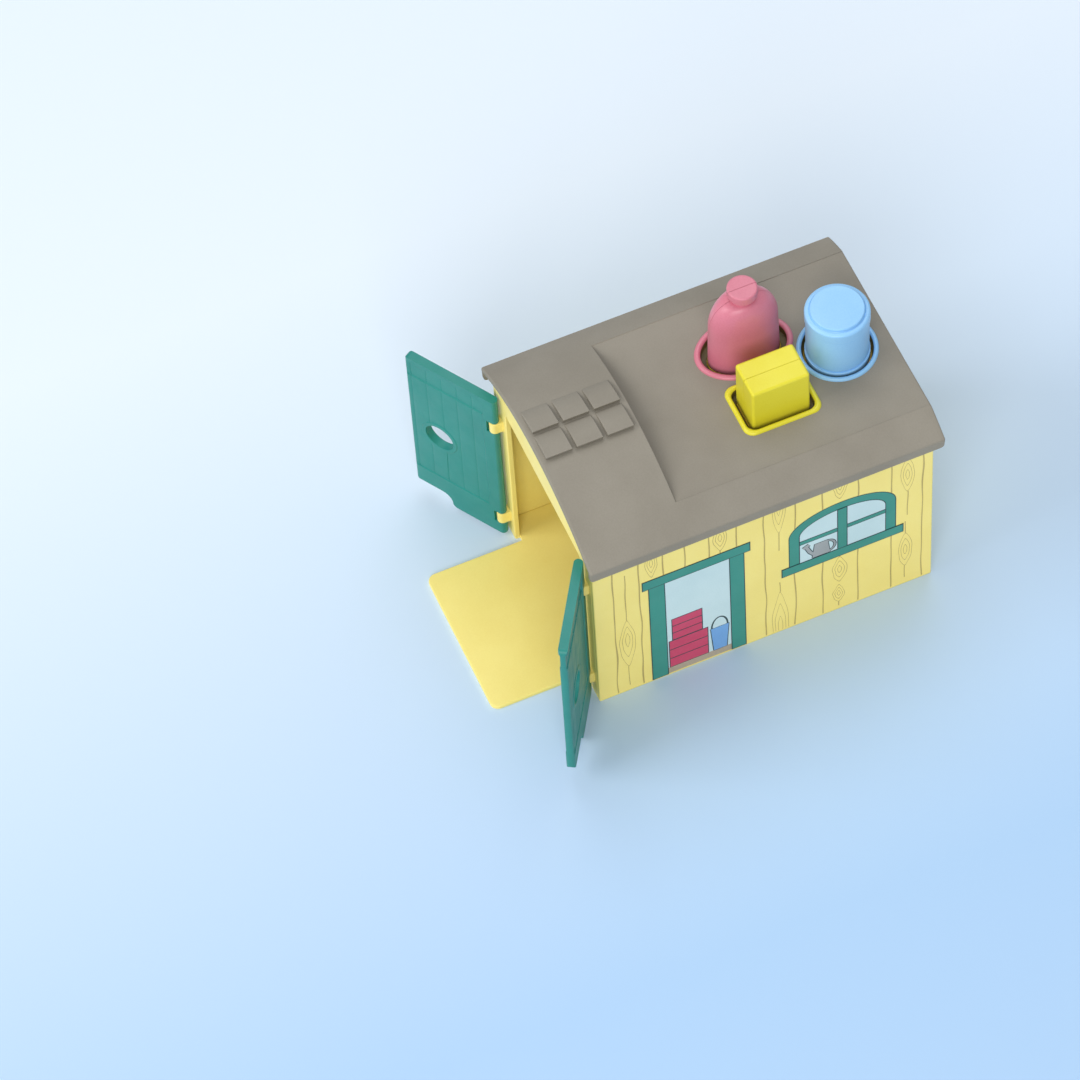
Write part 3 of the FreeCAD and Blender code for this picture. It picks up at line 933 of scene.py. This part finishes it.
head_border = 3.5 * mm
round_cuts = (15, 30, 45, 60, 75)
door_low, door_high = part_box("door_left")
half_thick = door_thickness / 2
quarter_round = spread(0, math.pi / 2, 4)


def whole(bm):
    """All parts of a mesh."""
    return bm.verts[:] + bm.edges[:] + bm.faces[:]


def hinge_side(height):
    """Notch in the hinge edge that leaves room for an eye, from the top down."""
    return [
        (-half_thick, height + eye_room_half),
        (eye_room, height + eye_room_half),
        (eye_room, height - eye_room_half),
        (-half_thick, height - eye_room_half),
    ]


def half_door(bm):
    """One face of the door, drawn flat from the hinge axis, with its edges carried to mid thickness."""
    outline = [
        (-half_thick, door_low.z),
        (notch_start, door_low.z),
        (notch_start, door_low.z + notch_height),
        (door_reach, door_low.z + notch_height),
        (door_reach, door_high.z),
        (-half_thick, door_high.z),
    ]
    for height in reversed(eye_heights):
        outline += hinge_side(height)
    rounds = ((1, free_corner), (2, notch_corner), (3, free_corner), (4, free_corner))
    face = outline_face(bm, outline, rounds)
    bmesh.ops.translate(bm, verts=face.verts[:], vec=(0, 0, half_thick))
    loops = [list(face.verts)]
    for first, second in zip(quarter_round, quarter_round[1:]):
        width = door_edge * (math.cos(first) - math.cos(second))
        bmesh.ops.inset_region(bm, faces=[face], thickness=width, use_even_offset=True)
        loops.append(list(face.verts))
    for turn, loop in zip(quarter_round, loops):
        for vert in loop:
            vert.co.z = half_thick - door_edge * (1 - math.sin(turn))
    rim = list(face.edges)
    bmesh.ops.delete(bm, geom=[face], context="FACES_ONLY")
    hole_middle = Vector((hole_reach, door_low.z + hole_height, half_thick))
    hole_half = Vector((hole_radius, hole_radius, 0))
    hole_steps = [(hole_collar + field_ramp, half_thick), (hole_collar, half_thick)]
    for turn in reversed(quarter_round):
        hole_steps.append((hole_edge * (1 - math.cos(turn)), half_thick - hole_edge * (1 - math.sin(turn))))
    hole_sizes = grown(hole_half, hole_steps)
    hole_rings = ring_stack(bm, oval(*hole_sizes[0][:2]), hole_middle, hole_sizes)
    fill(bm, rim + hole_rings[0])
    border = [edge for edge in bm.edges if edge.is_boundary]
    for vert in verts_of(bmesh.ops.extrude_edge_only(bm, edges=border)["geom"]):
        vert.co.z = 0


def door_half_at(x):
    """Half thickness of the door at a distance from its hinge axis: round at both upright edges."""
    past_free = x - (door_reach - free_round)
    if x < 0:
        return math.sqrt(max(half_thick ** 2 - x ** 2, 0))
    if past_free > 0:
        return half_thick - free_round + math.sqrt(max(free_round ** 2 - past_free ** 2, 0))
    return half_thick


def mould_planks(bm):
    """Cut the grooves and sink the planks and the head below the foot ledge."""
    foot = door_low.z + ledge_height
    head = door_high.z - head_band
    top = door_high.z - head_border
    grooves = [groove_start + number * groove_pitch for number in range(groove_count)]
    cuts = [(stile_width, 0), (stile_width + field_ramp, 0)]
    for groove in grooves:
        cuts += [(groove - groove_half, 0), (groove, 0), (groove + groove_half, 0)]
    cuts += [(foot, 1), (foot + field_ramp, 1), (head - field_ramp, 1), (head, 1)]
    cuts += [(top - field_ramp, 1), (top, 1)]
    for turn in round_cuts:
        cuts.append((-half_thick * math.sin(math.radians(turn)), 0))
        cuts.append((door_reach - free_round * (1 - math.sin(math.radians(turn))), 0))
    for place, axis in cuts:
        point, normal = Vector(), Vector()
        point[axis] = place
        normal[axis] = 1
        bmesh.ops.bisect_plane(bm, geom=whole(bm), dist=hairline / 10, plane_co=point, plane_no=normal)
    for vert in bm.verts:
        if vert.co.z < hairline:
            continue
        from_hole = Vector((vert.co.x - hole_reach, vert.co.y - door_low.z - hole_height)).length
        past_stile = stile_width + field_ramp - hairline < vert.co.x
        past_collar = from_hole > hole_radius + hole_collar + hairline
        on_field = foot + field_ramp - hairline < vert.co.y < top - field_ramp + hairline
        sink = 0
        if past_stile and past_collar and on_field:
            sink = field_depth if vert.co.y < head - hairline else head_depth
            if any(abs(vert.co.x - groove) < hairline for groove in grooves):
                sink += groove_depth
        vert.co.z = max(min(vert.co.z - sink, door_half_at(vert.co.x)), hairline)


green_plastic = moulded_plastic("door_green", (32, 138, 129), (26, 129, 120), 0.42)
upright = plane((1, 0, 0), (0, 0, 1), (0, 0, 0))
for node, side in (("door_left", 1), ("door_right", -1)):
    door_mesh = bmesh.new()
    half_door(door_mesh)
    mould_planks(door_mesh)
    bmesh.ops.mirror(
        door_mesh, geom=whole(door_mesh), matrix=Matrix(), merge_dist=hairline / 10, axis="Z"
    )
    bmesh.ops.dissolve_degenerate(door_mesh, dist=hairline / 10, edges=door_mesh.edges)
    bmesh.ops.transform(door_mesh, matrix=upright, verts=door_mesh.verts)
    bmesh.ops.scale(door_mesh, vec=(side, 1, 1), verts=door_mesh.verts)
    swing = Matrix.Rotation(-side * door_open_angle, 4, "Z")
    bmesh.ops.transform(door_mesh, matrix=Matrix.Translation(hinges[node]) @ swing, verts=door_mesh.verts)
    add_piece(node, door_mesh, green_plastic, node, "door_green", node)

# Milk can
# A hollow oval can in glossy pink plastic, moulded as two halves that meet along its length.
# A round shoulder carries a short neck and a flat knob, and the seam shows over both.
can_shoulder = 21 * mm
can_neck = 3 * mm
can_knob = 6 * mm
can_neck_radius = 7 * mm
can_knob_radius = 8.8 * mm
can_taper = 0.965
can_foot_edge = 1.2 * mm
can_knob_edge = 1.1 * mm
can_edge_steps = 4
seam_gap = 0.06 * mm
seam_edge = 0.22 * mm
shoulder_steps = 14
can_middle, can_half = middle_and_half("can_half_left", "can_half_right")


def rounded_corner(radius, height, edge, upward, steps):
    """Quarter round of a section, from its flat foot (upward -1) or flat top (upward 1) to its side."""
    points = []
    for turn in spread(0, math.pi / 2, steps):
        points.append((radius - edge * (1 - math.sin(turn)), height - upward * edge * (1 - math.cos(turn))))
    return points


def halved(bm, middle, side):
    """Keep one half of a moulding, a hair from the parting plane, with a soft edge at the seam."""
    seam_x = middle.x + side * seam_gap
    bmesh.ops.bisect_plane(
        bm, geom=whole(bm), dist=hairline / 10, plane_co=(seam_x, 0, 0), plane_no=(side, 0, 0),
        clear_inner=True,
    )
    seam = [edge for edge in bm.edges if edge.is_boundary]
    bmesh.ops.holes_fill(bm, edges=seam, sides=0)
    bmesh.ops.recalc_face_normals(bm, faces=bm.faces)
    soften(bm, edges_at(bm, lambda co: abs(co.x - seam_x) < hairline), seam_edge, segments=2)


can_foot = can_middle.z - can_half.z
can_top = can_middle.z + can_half.z
knob_low = can_top - can_knob
shoulder_low = knob_low - can_neck - can_shoulder
can_sizes = grown(can_half, rounded_corner(0, can_foot, can_foot_edge, -1, can_edge_steps))
for turn in spread(0, math.pi / 2, shoulder_steps):
    half_x = can_neck_radius + (can_half.x * can_taper - can_neck_radius) * math.cos(turn)
    half_y = can_neck_radius + (can_half.y * can_taper - can_neck_radius) * math.cos(turn)
    can_sizes.append((half_x, half_y, shoulder_low + can_shoulder * math.sin(turn)))
can_sizes.append((can_neck_radius, can_neck_radius, knob_low))
knob_section = (
    rounded_corner(can_knob_radius, knob_low, can_knob_edge, -1, can_edge_steps)
    + rounded_corner(can_knob_radius, can_top, can_knob_edge, 1, can_edge_steps)[::-1]
)
can_sizes += [(radius, radius, height) for radius, height in knob_section]
for node, side in (("can_half_left", -1), ("can_half_right", 1)):
    can_mesh = bmesh.new()
    rings = ring_stack(can_mesh, oval(*can_sizes[0][:2]), can_middle, can_sizes)
    for ring in (rings[0], rings[-1]):
        bmesh.ops.edgeloop_fill(can_mesh, edges=ring)
    halved(can_mesh, can_middle, side)
    add_piece(node, can_mesh, pink_plastic, "can", "can_pink", node)

# Barrel
# A light-blue barrel snapped together from three glossy mouldings: a waist tube, a hooped base and
# a hooped lid that carries a raised disc.
hoop_edge = 1.5 * mm
hoop_lip = 0.6 * mm
hoop_steps = 5
disc_radius = 15.5 * mm
disc_edge = 0.7 * mm
disc_groove = 0.35 * mm
disc_height = 2 * mm
waist_groove = 0.7 * mm
waist_bulge = 1.6 * mm
barrel_base_low, barrel_base_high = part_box("barrel_base")
barrel_lid_low, barrel_lid_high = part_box("barrel_lid")
waist_low, waist_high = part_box("barrel_body")
waist_radius = (waist_high.x - waist_low.x) / 2
barrel_middle, barrel_half = middle_and_half("barrel_base")
hoop_top = barrel_lid_high.z - disc_height


def turned_solid(bm, middle, section):
    """Closed solid turned about an upright axis from (radius, height) points that start and end on it."""
    points = [bm.verts.new((middle.x + radius, middle.y, height)) for radius, height in section]
    chain = [bm.edges.new(pair) for pair in zip(points, points[1:])]
    bmesh.ops.spin(
        bm, geom=points + chain, cent=middle, axis=(0, 0, 1), angle=2 * math.pi, steps=oval_steps,
        use_merge=True,
    )
    bmesh.ops.remove_doubles(bm, verts=bm.verts, dist=hairline / 10)


base_section = (
    [(0, barrel_base_low.z)]
    + rounded_corner(barrel_half.x, barrel_base_low.z, hoop_edge, -1, hoop_steps)
    + rounded_corner(barrel_half.x, barrel_base_high.z, hoop_lip, 1, hoop_steps)[::-1]
    + [(0, barrel_base_high.z)]
)
waist_section = [
    (0, barrel_base_high.z - hoop_lip),
    (waist_radius - waist_groove, barrel_base_high.z - hoop_lip),
    (waist_radius - waist_groove, barrel_base_high.z + waist_groove / 2),
    (waist_radius, barrel_base_high.z + waist_bulge),
    (waist_radius, barrel_lid_low.z - waist_bulge),
    (waist_radius - waist_groove, barrel_lid_low.z - waist_groove / 2),
    (waist_radius - waist_groove, barrel_lid_low.z + hoop_lip),
    (0, barrel_lid_low.z + hoop_lip),
]
lid_section = (
    [(0, barrel_lid_low.z)]
    + rounded_corner(barrel_half.x, barrel_lid_low.z, hoop_lip, -1, hoop_steps)
    + rounded_corner(barrel_half.x, hoop_top, hoop_edge, 1, hoop_steps)[::-1]
    + [(disc_radius + 2 * disc_groove, hoop_top), (disc_radius + disc_groove, hoop_top - disc_groove)]
    + [(disc_radius, hoop_top)]
    + rounded_corner(disc_radius, barrel_lid_high.z, disc_edge, 1, hoop_steps)[::-1]
    + [(0, barrel_lid_high.z)]
)
for node, section in (
    ("barrel_base", base_section),
    ("barrel_body", waist_section),
    ("barrel_lid", lid_section),
):
    barrel_mesh = bmesh.new()
    turned_solid(barrel_mesh, barrel_middle, section)
    add_piece(node, barrel_mesh, blue_plastic, "barrel", "barrel_blue", node)

# Bale
# A hollow block in glossy straw-yellow plastic with soft edges, moulded as two halves whose seam
# runs along the middle of its top.
bale_edge = 1.8 * mm
bale_edge_steps = 5
bale_middle, bale_half = middle_and_half("bale_half_left", "bale_half_right")
for node, side in (("bale_half_left", -1), ("bale_half_right", 1)):
    bale_mesh = bmesh.new()
    block = boxed(bale_mesh, bale_middle - bale_half, bale_middle + bale_half)
    soften(bale_mesh, block, bale_edge, bale_edge_steps)
    halved(bale_mesh, bale_middle, side)
    add_piece(node, bale_mesh, straw_plastic, "bale", "bale_yellow", node)

# Studio
# A plain pale-blue floor, a pale surround, three soft lamps and the camera at the photo's angle.
# The floor is pale on the left and deeper on the right, a painted falloff of light, and throws a nearly
# neutral light back.
camera_azimuth = math.radians(70.43)
camera_elevation = math.radians(56.454)
camera_roll = math.radians(-4.498)
camera_shift_right = -103.045 * mm
camera_shift_up = 3.079 * mm
camera_distance = 3499.783 * mm
camera_sensor = 36
camera_lens = 200
studio_half = 8
floor_pale_x = -0.28
floor_deep_x = 0.25
floor_roughness = 0.8
surround_strength = 0.47
lamp_target = Vector((0, 0, 80 * mm))
lamps = (
    ("key_lamp", (-0.5, -3.8, 3.2), 2.6, 88, (1, 0.98, 0.96)),
    ("fill_lamp", (3.5, -1.9, 3), 2.6, 115, (1, 0.98, 0.95)),
    ("top_lamp", (-1.6, 0.55, 3.8), 2.8, 44, (1, 1, 1)),
)
scene = bpy.context.scene
scene.view_settings.view_transform = "Standard"

floor_paint = bpy.data.materials.new("studio_floor")
floor_paint.use_nodes = True
floor_nodes = floor_paint.node_tree.nodes
floor_shader = floor_nodes["Principled BSDF"]
set_inputs(floor_shader, {"Roughness": floor_roughness})
floor_place = floor_nodes.new("ShaderNodeTexCoord")
floor_across = floor_nodes.new("ShaderNodeSeparateXYZ")
floor_range = floor_nodes.new("ShaderNodeMapRange")
set_inputs(floor_range, {"From Min": floor_pale_x, "From Max": floor_deep_x})
# Painted light: the ramp from pale to deep blue stands for light falling off across the floor.
floor_painted_falloff = floor_nodes.new("ShaderNodeValToRGB")
floor_painted_falloff.color_ramp.elements[0].color = paint(228, 239, 250)
floor_painted_falloff.color_ramp.elements[1].color = paint(174, 207, 241)
floor_sight = floor_nodes.new("ShaderNodeLightPath")
floor_mirrored = floor_nodes.new("ShaderNodeMath")
floor_mirrored.operation = "MAXIMUM"
floor_seen = floor_nodes.new("ShaderNodeMath")
floor_seen.operation = "MAXIMUM"
floor_cast = floor_nodes.new("ShaderNodeMix")
floor_cast.data_type = "RGBA"
set_inputs(floor_cast, {"A": paint(220, 228, 234)})
for start, end in (
    (floor_place.outputs["Object"], floor_across.inputs["Vector"]),
    (floor_across.outputs["X"], floor_range.inputs["Value"]),
    (floor_range.outputs["Result"], floor_painted_falloff.inputs["Fac"]),
    (floor_sight.outputs["Is Glossy Ray"], floor_mirrored.inputs[0]),
    (floor_sight.outputs["Is Transmission Ray"], floor_mirrored.inputs[1]),
    (floor_sight.outputs["Is Camera Ray"], floor_seen.inputs[0]),
    (floor_mirrored.outputs["Value"], floor_seen.inputs[1]),
    (floor_seen.outputs["Value"], floor_cast.inputs["Factor"]),
    (floor_painted_falloff.outputs["Color"], floor_cast.inputs["B"]),
    (floor_cast.outputs["Result"], floor_shader.inputs["Base Color"]),
):
    floor_paint.node_tree.links.new(start, end)
studio_mesh = bmesh.new()
bmesh.ops.create_grid(studio_mesh, x_segments=1, y_segments=1, size=studio_half)
studio_floor = mesh_object("studio_floor", studio_mesh, floor_paint)

surround = bpy.data.worlds.new("studio_surround")
surround.use_nodes = True
surround_light = surround.node_tree.nodes["Background"]
set_inputs(surround_light, {"Color": paint(240, 246, 253), "Strength": surround_strength})
scene.world = surround

for name, place, size, watts, colour in lamps:
    lamp = bpy.data.lights.new(name, "AREA")
    lamp.color = colour
    lamp.size = size
    lamp.energy = watts
    holder = bpy.data.objects.new(name, lamp)
    holder.location = place
    holder.rotation_euler = (lamp_target - holder.location).to_track_quat("-Z", "Y").to_euler()
    scene.collection.objects.link(holder)

level_right = Vector((math.cos(camera_azimuth), math.sin(camera_azimuth), 0))
backward = Vector((
    math.sin(camera_azimuth) * math.cos(camera_elevation),
    -math.cos(camera_azimuth) * math.cos(camera_elevation),
    math.sin(camera_elevation),
))
level_up = backward.cross(level_right)
rightward = math.cos(camera_roll) * level_right + math.sin(camera_roll) * level_up
upward = math.cos(camera_roll) * level_up - math.sin(camera_roll) * level_right
camera_place = camera_shift_right * rightward + camera_shift_up * upward + camera_distance * backward
camera_data = bpy.data.cameras.new("photo_camera")
camera_data.sensor_width = camera_sensor
camera_data.lens = camera_lens
camera = bpy.data.objects.new("photo_camera", camera_data)
camera.matrix_world = plane(rightward, upward, camera_place)
scene.collection.objects.link(camera)
scene.camera = camera
